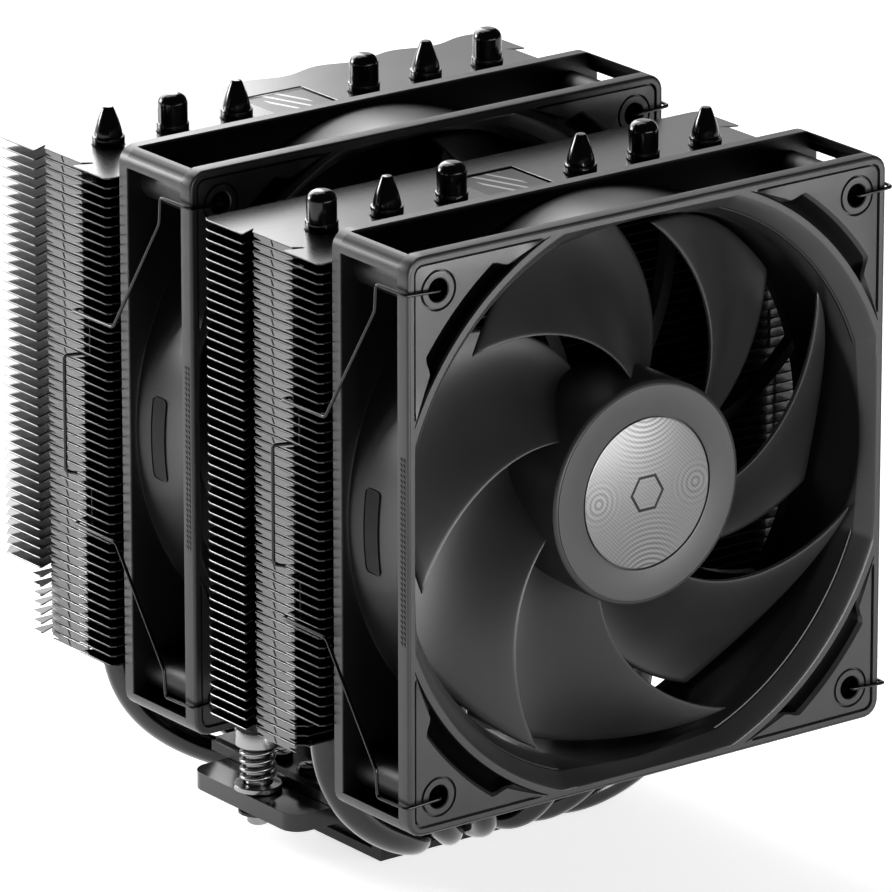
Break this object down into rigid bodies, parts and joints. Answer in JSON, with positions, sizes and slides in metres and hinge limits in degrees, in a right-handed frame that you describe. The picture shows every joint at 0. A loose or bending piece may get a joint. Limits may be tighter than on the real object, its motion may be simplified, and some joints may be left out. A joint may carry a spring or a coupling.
{
  "type": "cpu tower cooler",
  "caption": "Twin-tower air cooler: finned stacks on U-shaped heat pipes over a cold plate, with clip-on axial fans and sprung mounting screws.",
  "frame": {"origin": "centre of the cold plate's lower face, which presses on the processor", "axes": "+Z away from the processor, up the towers; -Y is the air intake side with the front fan; X runs across the fins, towards the two spring screws"},
  "size_m": [0.1288, 0.1402, 0.1517],
  "materials": {
    "fin_black": "satin black coated sheet",
    "pipe_black": "glossy black plated tube",
    "bar_black": "glossy black lacquer",
    "base_black": "satin black anodised",
    "frame_plastic": "fine-grained dark grey plastic",
    "blade_plastic": "satin dark grey plastic",
    "label_silver": "silver foil with fine engraved rings",
    "steel": "nickel plated steel",
    "dark_steel": "black oxide steel",
    "magnet": "bonded ferrite strip",
    "bronze": "sintered bronze",
    "laminate": "stacked steel laminations with the windings",
    "board_green": "printed circuit board"
  },
  "bodies": {
    "cooler": {"base_cap": "base_black", "cap_screw_front_left": "dark_steel", "cap_screw_front_right": "dark_steel", "cap_screw_rear_left": "dark_steel", "cap_screw_rear_right": "dark_steel", "cold_plate": "base_black", "emblem_plate_front": "label_silver", "emblem_plate_rear": "label_silver", "fin_stack_front": "fin_black", "fin_stack_rear": "fin_black", "front_bearing_sleeve": "bronze", "front_circuit_board": "board_green", "front_clip_left": "dark_steel", "front_clip_right": "dark_steel", "front_fan_frame": "frame_plastic", "front_stator": "laminate", "heat_pipe_1": "pipe_black", "heat_pipe_2": "pipe_black", "heat_pipe_3": "pipe_black", "heat_pipe_4": "pipe_black", "heat_pipe_5": "pipe_black", "heat_pipe_6": "pipe_black", "middle_bearing_sleeve": "bronze", "middle_circuit_board": "board_green", "middle_clip_left": "dark_steel", "middle_clip_right": "dark_steel", "middle_fan_frame": "frame_plastic", "middle_stator": "laminate", "mounting_bar": "bar_black", "pipe_clamp_block": "base_black", "spring_left": "steel", "spring_right": "steel", "spring_washer_left": "steel", "spring_washer_right": "steel"},
    "front_rotor": {"front_impeller": "blade_plastic", "front_hub_label": "label_silver", "front_rotor_yoke": "dark_steel", "front_rotor_magnet": "magnet", "front_shaft": "steel"},
    "middle_rotor": {"middle_impeller": "blade_plastic", "middle_hub_label": "label_silver", "middle_rotor_yoke": "dark_steel", "middle_rotor_magnet": "magnet", "middle_shaft": "steel"},
    "left_screw_carrier": {"retaining_clip_left": "dark_steel"},
    "left_screw": {"spring_screw_left": "steel"},
    "right_screw_carrier": {"retaining_clip_right": "dark_steel"},
    "right_screw": {"spring_screw_right": "steel"}
  },
  "joints": [
    {"name": "front_fan_spin", "type": "hinge", "parent": "cooler", "child": "front_rotor", "pos_m": [0, -0.06875, 0.09], "axis": [0, 1, 0], "continuous": true},
    {"name": "middle_fan_spin", "type": "hinge", "parent": "cooler", "child": "middle_rotor", "pos_m": [0, 0.00385, 0.09], "axis": [0, 1, 0], "continuous": true},
    {"name": "left_screw_press", "type": "slide", "parent": "cooler", "child": "left_screw_carrier", "axis": [0, 0, -1], "range_m": [0, 0.0035], "stiffness_N_per_m": 2000, "deforming": ["spring_left"]},
    {"name": "left_screw_turn", "type": "hinge", "parent": "left_screw_carrier", "child": "left_screw", "pos_m": [-0.0386, 0, 0.015], "axis": [0, 0, -1], "continuous": true},
    {"name": "right_screw_press", "type": "slide", "parent": "cooler", "child": "right_screw_carrier", "axis": [0, 0, -1], "range_m": [0, 0.0035], "stiffness_N_per_m": 2000, "deforming": ["spring_right"]},
    {"name": "right_screw_turn", "type": "hinge", "parent": "right_screw_carrier", "child": "right_screw", "pos_m": [0.0386, 0, 0.015], "axis": [0, 0, -1], "continuous": true}
  ]
}
